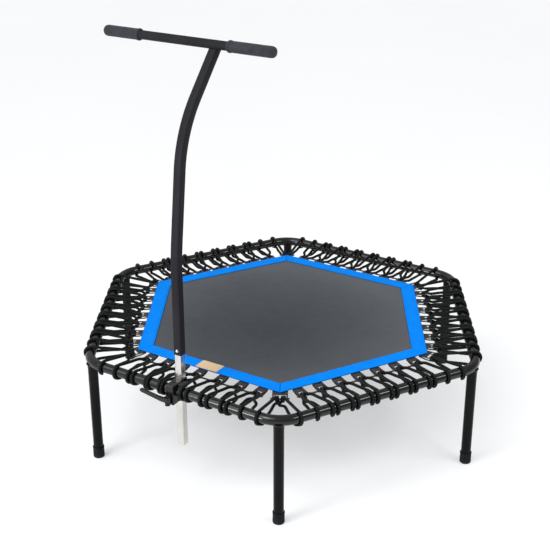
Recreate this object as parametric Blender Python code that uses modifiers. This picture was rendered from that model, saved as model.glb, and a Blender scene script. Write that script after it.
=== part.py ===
"""Hexagonal fitness trampoline with a height-adjustable T-handle, in metres, +Z up.

The origin is the centre of the hexagon, on the floor. The handle stands on the -Y side.
Side k of the hexagon faces outward at HANDLE_SIDE_ANGLE + 60 k degrees, so side 0 is the
handle side, and corner k joins side k to side k + 1.
"""
import math

import bmesh
import bpy
from mathutils import Matrix, Vector

SIDES = 6
HALF_TURN = math.pi / SIDES                 # half the angle between two sides
HANDLE_SIDE_ANGLE = math.radians(-90)
GAP = 0.0003                                # clearance between touching pieces

# Frame tube, legs and feet
FRAME_APOTHEM = 0.5465                      # hexagon centre to the tube's axis
FRAME_Z = 0.313                             # height of the tube's axis
TUBE_R = 0.0142
TUBE_WALL = 0.0015
BEND_R = 0.090                              # bend radius of the tube's axis at a corner
BEND_STEPS = 6
SEAM_PAST_BEND = 0.008                      # the joint between two tubes, past the bend's end
SOCKET_R = 0.0172                           # welded collar above each leg
SOCKET_BOTTOM = 0.2935
SPIGOT_R = 0.0121                           # stub that the leg pushes onto
SPIGOT_BOTTOM = 0.250
FOOT_R = 0.0165
FOOT_HEIGHT = 0.034
FOOT_FLOOR = 0.004                          # rubber under the leg's end

# Jumping mat and what is sewn to it
MAT_APOTHEM = 0.4157
BORDER_WIDTH = 0.0441
BORDER_TOP = 0.3185
BORDER_THICKNESS = 0.0024
MAT_THICKNESS = 0.0020
STRAP_THICKNESS = 0.0020
STRAP_INNER = 0.380                         # inner edge of the strap strip under the border
STRAP_OUTER = 0.4147
TAB_INNER, TAB_OUTER = 0.0090, 0.0148       # the two legs of a tab, from its middle
TAB_WEB = 0.431                             # where a tab parts into its legs
CORNER_TAB_OUTER = 0.0228
LABEL_SIZE = (0.070, 0.042, 0.0006)
LABEL_X = -0.003

# Edge wire that the tabs hold and the cords hook on
WIRE_APOTHEM = 0.4457
WIRE_R = 0.0025
WIRE_BEND_R = 0.085

# Elastic cords
CORD_R = 0.0036
ANCHORS = 7                                 # tabs on each side, with one more at each corner
ANCHOR_PITCH = 0.0615
WRAP_SPREAD = 0.0225                        # from an anchor's middle to each of its two wraps
WRAP_RETURN = 0.0020                        # how far the lower strand comes back inwards
CORNER_WRAP_S = 0.2570                      # corner wraps, from the middle of a side
HOOK_OUTER, HOOK_INNER = 0.0190, 0.0045     # where upper and lower strands pass the wire
CORNER_HOOK_OUTER = 0.0270
WRAP_ANGLES = (105, 54, 3, -48, -99)
WRAP_R = 0.0200                             # cord's axis to the tube's axis, at a corner point

# Handle
HANDLE_X = -0.0132
STEM_Y = -0.5165
STEM_WIDTH = 0.0205
STEM_WALL = 0.0015
STEM_BOTTOM, STEM_TOP = 0.130, 0.620
POST_WIDTH = 0.0232
POST_BOTTOM = 0.409
POST_BORE_TOP = 0.630
POST_CORNER_R = 0.0018
POST_BENDS = ((0.231, 0.0), (0.085, 7.0), (0.190, 0.0), (0.190, 34.0), (0.146, 0.0))
BEND_PIECE = math.radians(6)                # a bend is drawn in steps of about this angle
SCREW_Z = 0.4215
BAR_Y, BAR_Z = -0.3225, 1.2025               # the bar lies on the post's level top end
BAR_R = 0.012
BAR_SEAT = 0.004                            # how far the post's end reaches up around the bar
BAR_WALL = 0.0015
BAR_LEFT, BAR_RIGHT = 0.354, 0.183          # the bar's arms, from the post
GRIP_LEFT, GRIP_RIGHT = 0.120, 0.140        # lengths
GRIP_R = 0.0150
GRIP_BORE_R = 0.0127

# Clamp that holds the handle's stem to the frame
CLAMP_HALF_WIDTH = 0.0125
CLAMP_Z = (0.2790, 0.3365)
CLAMP_SPLIT = 0.0010                        # half the gap between the two clamp halves
CLAMP_BORE_R = 0.0147
STEM_CLEARANCE = 0.0003
BOLT_Z = 0.2870
BOLT_R = 0.0030
JAW_FRONT = -0.5695
PIN_Y = -0.5788
PIN_R = 0.0030
CAM_R = 0.0088
CAM_Z = (0.2915, 0.3060)
LEVER_LENGTH = 0.086


def side_frame(side):
    """Outward normal and tangent of a side; the tangent runs towards the next side."""
    angle = HANDLE_SIDE_ANGLE + 2 * HALF_TURN * side
    normal = Vector((math.cos(angle), math.sin(angle), 0))
    tangent = Vector((-math.sin(angle), math.cos(angle), 0))
    return normal, tangent


def on_side(side, s, r, z):
    """Point s along a side from its middle, r from the hexagon's centre, at height z."""
    normal, tangent = side_frame(side)
    return normal * r + tangent * s + Vector((0, 0, z))


def at_corner(side, t, rho, z):
    """Point at distance rho along the corner's diagonal, and t across it."""
    s = rho * math.sin(HALF_TURN) + t * math.cos(HALF_TURN)
    r = rho * math.cos(HALF_TURN) - t * math.sin(HALF_TURN)
    return on_side(side, s, r, z)


def bend_tangent(bend_r):
    """Length that a bend of 60 degrees takes off each straight."""
    return bend_r * math.tan(HALF_TURN)


def corner_distance(apothem, bend_r):
    """Distance from the centre to the middle of a rounded corner."""
    return apothem / math.cos(HALF_TURN) - bend_r * (1 / math.cos(HALF_TURN) - 1)


LEG_RADIUS = corner_distance(FRAME_APOTHEM, BEND_R)
MAT_TOP = BORDER_TOP - BORDER_THICKNESS - GAP
STRAP_TOP = MAT_TOP - MAT_THICKNESS - GAP
WIRE_Z = STRAP_TOP - STRAP_THICKNESS - GAP - WIRE_R
HOOK_R = WIRE_R + CORD_R + GAP


# ---------------------------------------------------------------- scene and materials

def clear_scene():
    for obj in list(bpy.data.objects):
        bpy.data.objects.remove(obj, do_unlink=True)


def new_collection(name):
    collection = bpy.data.collections.new(name)
    bpy.context.scene.collection.children.link(collection)
    return collection


def new_material(name, color, roughness, metallic=0.0):
    material = bpy.data.materials.new(name)
    material.use_nodes = True
    shader = material.node_tree.nodes["Principled BSDF"]
    shader.inputs["Base Color"].default_value = (*color, 1.0)
    shader.inputs["Roughness"].default_value = roughness
    shader.inputs["Metallic"].default_value = metallic
    return material


clear_scene()
PARTS = new_collection("mini_trampoline")
CUTTERS = new_collection("cutters")
BLACK_PAINT = new_material("black_paint", (0.013, 0.014, 0.015), 0.25, 0.3)
BARE_STEEL = new_material("bright_steel", (0.72, 0.71, 0.69), 0.25, 1.0)
BLACK_RUBBER = new_material("black_rubber", (0.03, 0.032, 0.034), 0.7)
GRIP_FOAM = new_material("grip_foam", (0.045, 0.05, 0.055), 0.85)
MAT_MESH = new_material("mat_mesh", (0.065, 0.075, 0.09), 0.6)
BLUE_BORDER = new_material("blue_border", (0.0, 0.27, 0.85), 0.5)
BLACK_WEBBING = new_material("black_webbing", (0.03, 0.03, 0.035), 0.8)
BLACK_CORD = new_material("black_cord", (0.015, 0.017, 0.016), 0.7)
TAN_LABEL = new_material("tan_label", (0.88, 0.6, 0.28), 0.6)


# ---------------------------------------------------------------- shape helpers

def add_object(name, data, material=None, collection=None):
    obj = bpy.data.objects.new(name, data)
    (collection or PARTS).objects.link(obj)
    if material:
        data.materials.append(material)
    return obj


def smooth(obj, angle=35):
    obj.data.shade_smooth()
    obj.data.set_sharp_from_angle(angle=math.radians(angle))
    return obj


def cylinder_mesh(name, start, end, radius, sides, caps=True):
    start, end = Vector(start), Vector(end)
    along = end - start
    turn = Vector((0, 0, 1)).rotation_difference(along).to_matrix().to_4x4()
    mesh = bpy.data.meshes.new(name)
    bm = bmesh.new()
    bmesh.ops.create_cone(bm, cap_ends=caps, segments=sides, radius1=radius, radius2=radius,
                          depth=along.length, matrix=Matrix.Translation((start + end) / 2) @ turn)
    bm.to_mesh(mesh)
    bm.free()
    return mesh


def cylinder(name, start, end, radius, material, sides=12):
    return smooth(add_object(name, cylinder_mesh(name, start, end, radius, sides), material))


def hollow_wall(obj, wall):
    """Thickens an open skin inwards."""
    modifier = obj.modifiers.new("wall", "SOLIDIFY")
    modifier.thickness = wall
    modifier.offset = -1
    modifier.use_even_offset = True
    return obj


def hollow_tube(name, start, end, radius, wall, material, sides=16):
    obj = add_object(name, cylinder_mesh(name, start, end, radius, sides, caps=False), material)
    return hollow_wall(smooth(obj), wall)


def box_mesh(name, low, high):
    low, high = Vector(low), Vector(high)
    mesh = bpy.data.meshes.new(name)
    bm = bmesh.new()
    size = Matrix.Diagonal((*(high - low), 1))
    bmesh.ops.create_cube(bm, size=1, matrix=Matrix.Translation((low + high) / 2) @ size)
    bm.to_mesh(mesh)
    bm.free()
    return mesh


def box(name, low, high, material, edge=0.0):
    obj = add_object(name, box_mesh(name, low, high), material)
    if edge:
        round_edges(obj, edge)
    return obj


def round_edges(obj, width, segments=2):
    modifier = obj.modifiers.new("edges", "BEVEL")
    modifier.width = width
    modifier.segments = segments
    modifier.limit_method = "ANGLE"
    modifier.angle_limit = math.radians(60)
    return obj


def boolean(obj, other, operation):
    other.hide_render = True
    other.display_type = "WIRE"
    modifier = obj.modifiers.new(operation.lower(), "BOOLEAN")
    modifier.operation = operation
    modifier.object = other


def cutting_cylinder(obj, start, end, radius, sides=16):
    name = obj.name + "_hole"
    mesh = cylinder_mesh(name, start, end, radius, sides)
    boolean(obj, add_object(name, mesh, collection=CUTTERS), "DIFFERENCE")


def cutting_box(obj, low, high):
    name = obj.name + "_slot"
    boolean(obj, add_object(name, box_mesh(name, low, high), collection=CUTTERS), "DIFFERENCE")


def turned(name, profile, place, material=None, steps=16, collection=None):
    """Turns (radius, height) points about Z; they run top to bottom on the outer side."""
    mesh = bpy.data.meshes.new(name)
    points = [(radius, 0, height) for radius, height in profile]
    mesh.from_pydata(points, [(i, i + 1) for i in range(len(points) - 1)], [])
    obj = add_object(name, mesh, material, collection)
    obj.matrix_world = place
    modifier = obj.modifiers.new("turn", "SCREW")
    modifier.steps = steps
    modifier.render_steps = steps
    modifier.use_merge_vertices = True
    modifier.merge_threshold = 0.00005
    modifier.use_smooth_shade = True
    return obj


def wire(name, points, radius, resolution, material, cyclic=False, caps=True):
    curve = bpy.data.curves.new(name, "CURVE")
    curve.dimensions = "3D"
    curve.bevel_depth = radius
    curve.bevel_resolution = resolution
    curve.use_fill_caps = caps
    spline = curve.splines.new("POLY")
    spline.points.add(len(points) - 1)
    for slot, point in zip(spline.points, points):
        slot.co = (*point, 1)
    spline.use_cyclic_u = cyclic
    return add_object(name, curve, material)


def flat_outline(name, outline, thickness, place, material):
    """Closed flat outline in its own XY plane, thickened evenly to both sides."""
    curve = bpy.data.curves.new(name, "CURVE")
    curve.dimensions = "2D"
    curve.fill_mode = "BOTH"
    curve.extrude = thickness / 2
    spline = curve.splines.new("POLY")
    spline.points.add(len(outline) - 1)
    for slot, (x, y) in zip(spline.points, outline):
        slot.co = (x, y, 0, 1)
    spline.use_cyclic_u = True
    obj = add_object(name, curve, material)
    obj.matrix_world = place
    return obj


def curve_to_mesh(obj):
    """Replaces a curve by its welded mesh, so that it can be cut."""
    name, collection, place = obj.name, obj.users_collection[0], obj.matrix_world.copy()
    bpy.context.view_layer.update()
    evaluated = obj.evaluated_get(bpy.context.evaluated_depsgraph_get())
    mesh = bpy.data.meshes.new_from_object(evaluated)
    bpy.data.objects.remove(obj, do_unlink=True)
    bm = bmesh.new()
    bm.from_mesh(mesh)
    bmesh.ops.remove_doubles(bm, verts=bm.verts, dist=0.00001)
    bmesh.ops.recalc_face_normals(bm, faces=bm.faces)
    bm.to_mesh(mesh)
    bm.free()
    result = add_object(name, mesh, collection=collection)
    result.matrix_world = place
    return result


def side_place(side, z):
    """Matrix whose X runs along a side and whose Y runs outward, at height z."""
    normal, tangent = side_frame(side)
    place = Matrix.Identity(4)
    place.col[0] = (*(-tangent), 0)
    place.col[1] = (*normal, 0)
    place.col[2] = (0, 0, 1, 0)
    place.translation = (0, 0, z)
    return place


def side_with_corner(side, apothem, bend_r, z):
    """Line along a side and round its far corner, to where the next side's line starts."""
    half = apothem * math.tan(HALF_TURN) - bend_tangent(bend_r)
    points = [on_side(side, -half + SEAM_PAST_BEND, apothem, z)]
    centre = apothem - bend_r
    for step in range(BEND_STEPS + 1):
        turn = 2 * HALF_TURN * step / BEND_STEPS
        points.append(on_side(side, half + bend_r * math.sin(turn),
                              centre + bend_r * math.cos(turn), z))
    return points + [on_side(side + 1, -half + SEAM_PAST_BEND - GAP, apothem, z)]


# ---------------------------------------------------------------- frame, legs and feet

def frame_tube(side):
    """One of the six bent tubes, with the welded socket and spigot of its leg."""
    path = side_with_corner(side, FRAME_APOTHEM, BEND_R, FRAME_Z)
    tube = curve_to_mesh(wire(f"frame_tube_{side + 1}", path, TUBE_R, 4, BLACK_PAINT, caps=False))
    hollow_wall(smooth(tube), TUBE_WALL)
    base = FRAME_Z - TUBE_R / 2
    profile = [(0, base), (SOCKET_R - 0.002, base), (SOCKET_R, SOCKET_BOTTOM + 0.002),
               (SOCKET_R, SOCKET_BOTTOM), (SPIGOT_R, SOCKET_BOTTOM), (SPIGOT_R, SPIGOT_BOTTOM + 0.002),
               (SPIGOT_R - 0.002, SPIGOT_BOTTOM), (0, SPIGOT_BOTTOM)]
    place = Matrix.Translation(at_corner(side, 0, LEG_RADIUS, 0))
    socket = turned(f"leg_socket_{side + 1}", profile, place, collection=CUTTERS)
    boolean(tube, socket, "UNION")
    return tube


def leg(side):
    top, bottom = SOCKET_BOTTOM - GAP, FOOT_FLOOR + GAP
    return hollow_tube(f"leg_{side + 1}", at_corner(side, 0, LEG_RADIUS, bottom),
                       at_corner(side, 0, LEG_RADIUS, top), TUBE_R, TUBE_WALL, BLACK_PAINT)


def foot(side):
    bore = TUBE_R + 0.0007
    profile = [(0, FOOT_FLOOR), (bore, FOOT_FLOOR), (bore, FOOT_HEIGHT), (FOOT_R - 0.0003, FOOT_HEIGHT),
               (FOOT_R, 0.003), (FOOT_R - 0.002, 0), (0, 0)]
    place = Matrix.Translation(at_corner(side, 0, LEG_RADIUS, 0))
    return turned(f"foot_{side + 1}", profile, place, BLACK_RUBBER)


# ---------------------------------------------------------------- mat, border and straps

def hexagon(apothem):
    rho = apothem / math.cos(HALF_TURN)
    return [at_corner(side, 0, rho, 0).xy for side in range(SIDES)]


def mat():
    place = Matrix.Translation((0, 0, MAT_TOP - MAT_THICKNESS / 2))
    return flat_outline("jumping_mat", hexagon(MAT_APOTHEM - 0.001), MAT_THICKNESS, place, MAT_MESH)


def border(side):
    """One strip of the sewn border, mitred to its neighbours at the corners."""
    inner, outer = MAT_APOTHEM - BORDER_WIDTH, MAT_APOTHEM
    slope = math.tan(HALF_TURN)
    outline = [(sign * (r * slope - GAP), r)
               for sign, r in ((-1, inner), (1, inner), (1, outer), (-1, outer))]
    place = side_place(side, BORDER_TOP - BORDER_THICKNESS / 2)
    return flat_outline(f"border_{side + 1}", outline, BORDER_THICKNESS, place, BLUE_BORDER)


def label():
    """Plain patch, stitched across the border at the foot of the handle."""
    width, depth, thickness = LABEL_SIZE
    middle = MAT_APOTHEM - BORDER_WIDTH / 2
    low = (LABEL_X - width / 2, -middle - depth / 2, BORDER_TOP + GAP)
    high = (LABEL_X + width / 2, -middle + depth / 2, BORDER_TOP + GAP + thickness)
    return box("label_patch", low, high, TAN_LABEL)


def anchors_on(side):
    """Middle and spread of each anchor on a side; they make room for the clamp on side 0."""
    anchors = [((i - (ANCHORS - 1) / 2) * ANCHOR_PITCH, WRAP_SPREAD) for i in range(ANCHORS)]
    if side == 0:
        middle = ANCHORS // 2
        anchors[middle - 1] = (-0.0735, 0.0195)
        anchors[middle] = (HANDLE_X, 0.0310)
        anchors[middle + 1] = (0.0575, 0.0225)
    return anchors


def straps(side):
    """Webbing strip under one border, with a two-legged tab at each anchor and at the corner."""
    reach = WIRE_APOTHEM + 0.004
    corner_reach = corner_distance(WIRE_APOTHEM, WIRE_BEND_R) + 0.004
    anchors = anchors_on(side)
    outline = [(anchors[0][0] - TAB_OUTER, STRAP_INNER),
               (STRAP_INNER * math.tan(HALF_TURN), STRAP_INNER)]

    def corner_point(t, rho):
        point = at_corner(0, t, rho, 0)
        normal, tangent = side_frame(0)
        outline.append((point.dot(tangent), point.dot(normal)))

    base = (STRAP_OUTER - CORNER_TAB_OUTER * math.sin(HALF_TURN)) / math.cos(HALF_TURN)
    notch = MAT_APOTHEM / math.cos(HALF_TURN) + 0.010
    for t, rho in ((CORNER_TAB_OUTER, base), (CORNER_TAB_OUTER, corner_reach),
                   (TAB_INNER, corner_reach), (TAB_INNER, notch), (-TAB_INNER, notch),
                   (-TAB_INNER, corner_reach), (-CORNER_TAB_OUTER, corner_reach)):
        corner_point(t, rho)
    corner_point(-CORNER_TAB_OUTER, base)
    for middle, _ in reversed(anchors):
        for offset, r in ((TAB_OUTER, STRAP_OUTER), (TAB_OUTER, reach), (TAB_INNER, reach),
                          (TAB_INNER, TAB_WEB), (-TAB_INNER, TAB_WEB), (-TAB_INNER, reach),
                          (-TAB_OUTER, reach), (-TAB_OUTER, STRAP_OUTER)):
            outline.append((middle + offset, r))
    place = side_place(side, STRAP_TOP - STRAP_THICKNESS / 2)
    return flat_outline(f"tab_strip_{side + 1}", [(-s, r) for s, r in outline], STRAP_THICKNESS,
                        place, BLACK_WEBBING)


def edge_wire(side):
    path = side_with_corner(side, WIRE_APOTHEM, WIRE_BEND_R, WIRE_Z)
    return wire(f"edge_wire_{side + 1}", path, WIRE_R, 1, BLACK_PAINT)


# ---------------------------------------------------------------- elastic cords

def wrap(side, s_top, s_bottom):
    """Points over the frame tube from its top to its underside."""
    points = []
    last = len(WRAP_ANGLES) - 1
    for i, angle in enumerate(WRAP_ANGLES):
        turn = math.radians(angle)
        s = s_top + (s_bottom - s_top) * i / last
        points.append(on_side(side, s, FRAME_APOTHEM + WRAP_R * math.cos(turn),
                              FRAME_Z + WRAP_R * math.sin(turn)))
    return points


def hooked(place, outer, inner, wrapped):
    """Half an anchor: up round the wire, out and over the tube, and back underneath."""
    return [place(outer, -HOOK_R), place(outer, HOOK_R), *wrapped, place(inner, -HOOK_R)]


def side_anchor(side, middle, spread):
    def place(offset, rise):
        return on_side(side, middle + offset, WIRE_APOTHEM - HOOK_R, WIRE_Z + rise)

    left = hooked(place, -HOOK_OUTER, -HOOK_INNER,
                  wrap(side, middle - spread, middle - spread + WRAP_RETURN))
    right = hooked(place, HOOK_OUTER, HOOK_INNER,
                   wrap(side, middle + spread, middle + spread - WRAP_RETURN))
    return left + right[::-1]


def corner_anchor(side):
    bend_centre = corner_distance(WIRE_APOTHEM, WIRE_BEND_R) - WIRE_BEND_R

    def place(offset, rise):
        rho = bend_centre + math.sqrt((WIRE_BEND_R - HOOK_R) ** 2 - offset ** 2)
        return at_corner(side, offset, rho, WIRE_Z + rise)

    left = hooked(place, -CORNER_HOOK_OUTER, -HOOK_INNER,
                  wrap(side, CORNER_WRAP_S, CORNER_WRAP_S + WRAP_RETURN))
    right = hooked(place, CORNER_HOOK_OUTER, HOOK_INNER,
                   wrap(side + 1, -CORNER_WRAP_S, -CORNER_WRAP_S - WRAP_RETURN))
    return left + right[::-1]


def cord(side):
    """One elastic cord, laced along a side and round the corner after it."""
    path = []
    for middle, spread in anchors_on(side):
        path += side_anchor(side, middle, spread)
    path += corner_anchor(side)
    return wire(f"bungee_cord_{side + 1}", path, CORD_R, 0, BLACK_CORD)


# ---------------------------------------------------------------- handle

def post_path():
    """Centre line of the post in its own plane, as (y, z, angle from vertical)."""
    y, z, angle = STEM_Y, POST_BOTTOM, 0.0
    points = [(y, z, angle)]
    for length, turn in POST_BENDS:
        turn = math.radians(turn)
        steps = max(1, math.ceil(turn / BEND_PIECE))
        for step in range(steps):
            middle = angle + turn * (step + 0.5) / steps
            y += length / steps * math.sin(middle)
            z += length / steps * math.cos(middle)
            points.append((y, z, angle + turn * (step + 1) / steps))
        angle += turn
    return points


def bar_centre():
    return Vector((HANDLE_X, BAR_Y, BAR_Z))


def level_end(y, z, angle, top):
    """Where a line that leaves (y, z) at an angle from vertical reaches a height."""
    return y + (top - z) * math.tan(angle), top


def post():
    """Curved square tube; bored at the bottom for the stem, saddled at the top for the bar."""
    half = POST_WIDTH / 2
    path = post_path()
    front = [(y - half * math.cos(angle), z + half * math.sin(angle)) for y, z, angle in path]
    back = [(y + half * math.cos(angle), z - half * math.sin(angle)) for y, z, angle in path]
    top, angle = BAR_Z - BAR_R + BAR_SEAT, path[-1][2]
    front[-1] = level_end(*front[-1], angle, top)
    back[-1] = level_end(*back[-1], angle, top)
    place = Matrix(((0, 0, 1, HANDLE_X), (1, 0, 0, 0), (0, 1, 0, 0), (0, 0, 0, 1)))
    obj = curve_to_mesh(flat_outline("handle_post", front + back[::-1], POST_WIDTH, place, BLACK_PAINT))
    round_edges(obj, POST_CORNER_R)
    bore = STEM_WIDTH / 2 + STEM_CLEARANCE
    cutting_box(obj, (HANDLE_X - bore, STEM_Y - bore, POST_BOTTOM - 0.01),
                (HANDLE_X + bore, STEM_Y + bore, POST_BORE_TOP))
    centre = bar_centre()
    reach = Vector((POST_WIDTH, 0, 0))
    cutting_cylinder(obj, centre - reach, centre + reach, BAR_R + GAP, sides=24)
    cutting_cylinder(obj, (HANDLE_X, STEM_Y - POST_WIDTH, SCREW_Z), (HANDLE_X, STEM_Y, SCREW_Z), 0.0028)
    return obj


def stem():
    """Straight bright tube that slides in the clamp."""
    half, hollow = STEM_WIDTH / 2, STEM_WIDTH / 2 - STEM_WALL
    obj = box("handle_stem", (HANDLE_X - half, STEM_Y - half, STEM_BOTTOM),
              (HANDLE_X + half, STEM_Y + half, STEM_TOP), BARE_STEEL, edge=0.0015)
    cutting_box(obj, (HANDLE_X - hollow, STEM_Y - hollow, STEM_BOTTOM - 0.01),
                (HANDLE_X + hollow, STEM_Y + hollow, STEM_TOP + 0.01))
    cutting_cylinder(obj, (HANDLE_X, STEM_Y - POST_WIDTH, SCREW_Z), (HANDLE_X, STEM_Y, SCREW_Z), 0.0028)
    return obj


def post_screw():
    """Domed screw through the post's outer wall into the stem."""
    face = STEM_Y - POST_WIDTH / 2 - GAP
    shank_end = STEM_Y - STEM_WIDTH / 2 + STEM_WALL + 0.002
    depth = shank_end - face
    profile = [(0, 0.0028), (0.0028, 0.0022), (0.0046, 0.0008), (0.0048, 0), (0.0024, 0),
               (0.0024, -depth), (0, -depth)]
    turn = Matrix.Rotation(math.radians(90), 4, "X")
    place = Matrix.Translation((HANDLE_X, face, SCREW_Z)) @ turn
    return turned("post_screw", profile, place, BARE_STEEL)


def handlebar():
    centre = bar_centre()
    left = centre - Vector((BAR_LEFT - 0.006, 0, 0))
    right = centre + Vector((BAR_RIGHT - 0.006, 0, 0))
    return hollow_tube("handlebar", left, right, BAR_R, BAR_WALL, BLACK_PAINT, sides=24)


def grip(name, end_x, outward, length):
    """Foam sleeve with a closed, rounded end and a raised ring at its mouth."""
    mouth = -length
    ring = GRIP_R + 0.0012
    profile = [(0, 0), (0.0070, -0.0005), (0.0115, -0.0030), (GRIP_R, -0.0085), (GRIP_R, mouth + 0.009),
               (ring, mouth + 0.008), (ring, mouth + 0.003), (GRIP_R - 0.001, mouth),
               (GRIP_BORE_R, mouth), (GRIP_BORE_R, -0.0055), (0, -0.0055)]
    turn = Matrix.Rotation(math.radians(90) * outward, 4, "Y")
    centre = bar_centre()
    place = Matrix.Translation((end_x, centre.y, centre.z)) @ turn
    return turned(name, profile, place, GRIP_FOAM, steps=20)


# ---------------------------------------------------------------- clamp

def clamp_half(name, y_low, y_high):
    low = (HANDLE_X - CLAMP_HALF_WIDTH, y_low, CLAMP_Z[0])
    high = (HANDLE_X + CLAMP_HALF_WIDTH, y_high, CLAMP_Z[1])
    obj = box(name, low, high, BLACK_PAINT, edge=0.0015)
    reach = Vector((2 * CLAMP_HALF_WIDTH, 0, 0))
    centre = Vector((HANDLE_X, -FRAME_APOTHEM, FRAME_Z))
    cutting_cylinder(obj, centre - reach, centre + reach, CLAMP_BORE_R, sides=24)
    return obj


def clamp_saddle():
    """Inner half: the square sleeve for the stem, against the inside of the frame tube."""
    obj = clamp_half("clamp_saddle", -FRAME_APOTHEM + CLAMP_SPLIT, STEM_Y + 0.0130)
    hole = STEM_WIDTH / 2 + STEM_CLEARANCE
    cutting_box(obj, (HANDLE_X - hole, STEM_Y - hole, CLAMP_Z[0] - 0.01),
                (HANDLE_X + hole, STEM_Y + hole, CLAMP_Z[1] + 0.01))
    cutting_cylinder(obj, (HANDLE_X, -FRAME_APOTHEM - 0.01, BOLT_Z),
                     (HANDLE_X, STEM_Y - STEM_WIDTH / 2 - 0.0015, BOLT_Z), BOLT_R + GAP)
    cutting_cylinder(obj, (HANDLE_X, STEM_Y, FRAME_Z), (HANDLE_X + 0.02, STEM_Y, FRAME_Z), 0.0033)
    return obj


def clamp_jaw():
    """Outer half, drawn against the frame tube by the cam."""
    obj = clamp_half("clamp_jaw", JAW_FRONT, -FRAME_APOTHEM - CLAMP_SPLIT)
    cutting_cylinder(obj, (HANDLE_X, JAW_FRONT - 0.01, BOLT_Z), (HANDLE_X, -FRAME_APOTHEM, BOLT_Z),
                     BOLT_R + GAP)
    return obj


def clamp_bolt():
    """Eye bolt under the frame tube; its eye turns on the cam pin."""
    end = STEM_Y - STEM_WIDTH / 2 - 0.0020
    obj = cylinder("clamp_bolt", (HANDLE_X, PIN_Y, BOLT_Z), (HANDLE_X, end, BOLT_Z), BOLT_R,
                   BARE_STEEL, sides=12)
    eye_low, eye_high = BOLT_Z - 0.0055, CAM_Z[0] - GAP
    eye = cylinder_mesh("bolt_eye", (HANDLE_X, PIN_Y, eye_low), (HANDLE_X, PIN_Y, eye_high), 0.0068, 16)
    boolean(obj, add_object("bolt_eye", eye, collection=CUTTERS), "UNION")
    cutting_cylinder(obj, (HANDLE_X, PIN_Y, eye_low - 0.01), (HANDLE_X, PIN_Y, eye_high + 0.01),
                     PIN_R + GAP)
    return obj


def cam_pin():
    low, high = BOLT_Z - 0.0075, CAM_Z[1] + 0.0015
    return cylinder("cam_pin", (HANDLE_X, PIN_Y, low), (HANDLE_X, PIN_Y, high), PIN_R, BARE_STEEL, sides=12)


def clamp_lever():
    """Quick-release lever: a round cam with a tapered arm along the frame tube."""
    low, high = CAM_Z
    obj = cylinder("clamp_lever", (HANDLE_X, PIN_Y, low), (HANDLE_X, PIN_Y, high), CAM_R, BLACK_PAINT,
                   sides=20)
    tip = -LEVER_LENGTH
    outline = [(-0.002, low + 0.0008), (-0.016, low + 0.0010), (tip + 0.004, low + 0.0110),
               (tip, low + 0.0140), (tip, low + 0.0190), (tip + 0.003, low + 0.0212),
               (-0.026, high - 0.0005), (-0.010, high - 0.0008), (-0.002, high - 0.0008)]
    thickness = 0.0062
    arm_y = PIN_Y - CAM_R + thickness / 2 + 0.0004
    place = Matrix(((1, 0, 0, HANDLE_X), (0, 0, -1, arm_y), (0, 1, 0, 0), (0, 0, 0, 1)))
    arm = curve_to_mesh(flat_outline("lever_arm", outline, thickness, place, BLACK_PAINT))
    PARTS.objects.unlink(arm)
    CUTTERS.objects.link(arm)
    boolean(obj, arm, "UNION")
    cutting_cylinder(obj, (HANDLE_X, PIN_Y, low - 0.01), (HANDLE_X, PIN_Y, high + 0.02), PIN_R + GAP)
    return obj


def stem_screw():
    """Set screw on the side of the saddle that locks the stem."""
    wall_in = HANDLE_X + STEM_WIDTH / 2 + STEM_CLEARANCE
    wall_out = HANDLE_X + CLAMP_HALF_WIDTH
    length = wall_out + GAP - wall_in
    profile = [(0, 0.0040), (0.0040, 0.0040), (0.0050, 0.0030), (0.0050, 0), (0.0028, 0),
               (0.0028, -length), (0, -length)]
    turn = Matrix.Rotation(math.radians(90), 4, "Y")
    place = Matrix.Translation((wall_out + GAP, STEM_Y, FRAME_Z)) @ turn
    return turned("stem_screw", profile, place, BARE_STEEL, steps=12)


def joint_empty(name, place, pieces):
    """Empty on a joint's axis, with the pieces that move on it as its children."""
    empty = add_object(name, None)
    empty.location = place
    bpy.context.view_layer.update()
    for piece in pieces:
        piece.parent = empty
        piece.matrix_parent_inverse = empty.matrix_world.inverted()


def build():
    for side in range(SIDES):
        frame_tube(side)
        leg(side)
        foot(side)
        cord(side)
    sewn = [mat(), label()]
    for side in range(SIDES):
        sewn += [border(side), straps(side), edge_wire(side)]
    joint_empty("mat_bounce", (0, 0, MAT_TOP), sewn)

    centre = bar_centre()
    handle = [stem(), post(), post_screw(), handlebar(),
              grip("grip_left", centre.x - BAR_LEFT, -1, GRIP_LEFT),
              grip("grip_right", centre.x + BAR_RIGHT, 1, GRIP_RIGHT)]
    joint_empty("handle_height", (HANDLE_X, STEM_Y, CLAMP_Z[1]), handle)

    clamp_saddle()
    clamp_jaw()
    clamp_bolt()
    cam_pin()
    stem_screw()
    joint_empty("lever_pivot", (HANDLE_X, PIN_Y, sum(CAM_Z) / 2), [clamp_lever()])


build()
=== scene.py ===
"""Looks of a hexagonal fitness trampoline with a T-handle, on a pale studio floor.

The hexagon's centre is at the origin, on the floor. Side k faces outward at -90 + 60 k degrees,
and corner k joins side k to side k + 1. Lengths are in metres.
"""
import math

import bpy
from mathutils import Matrix, Vector


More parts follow.
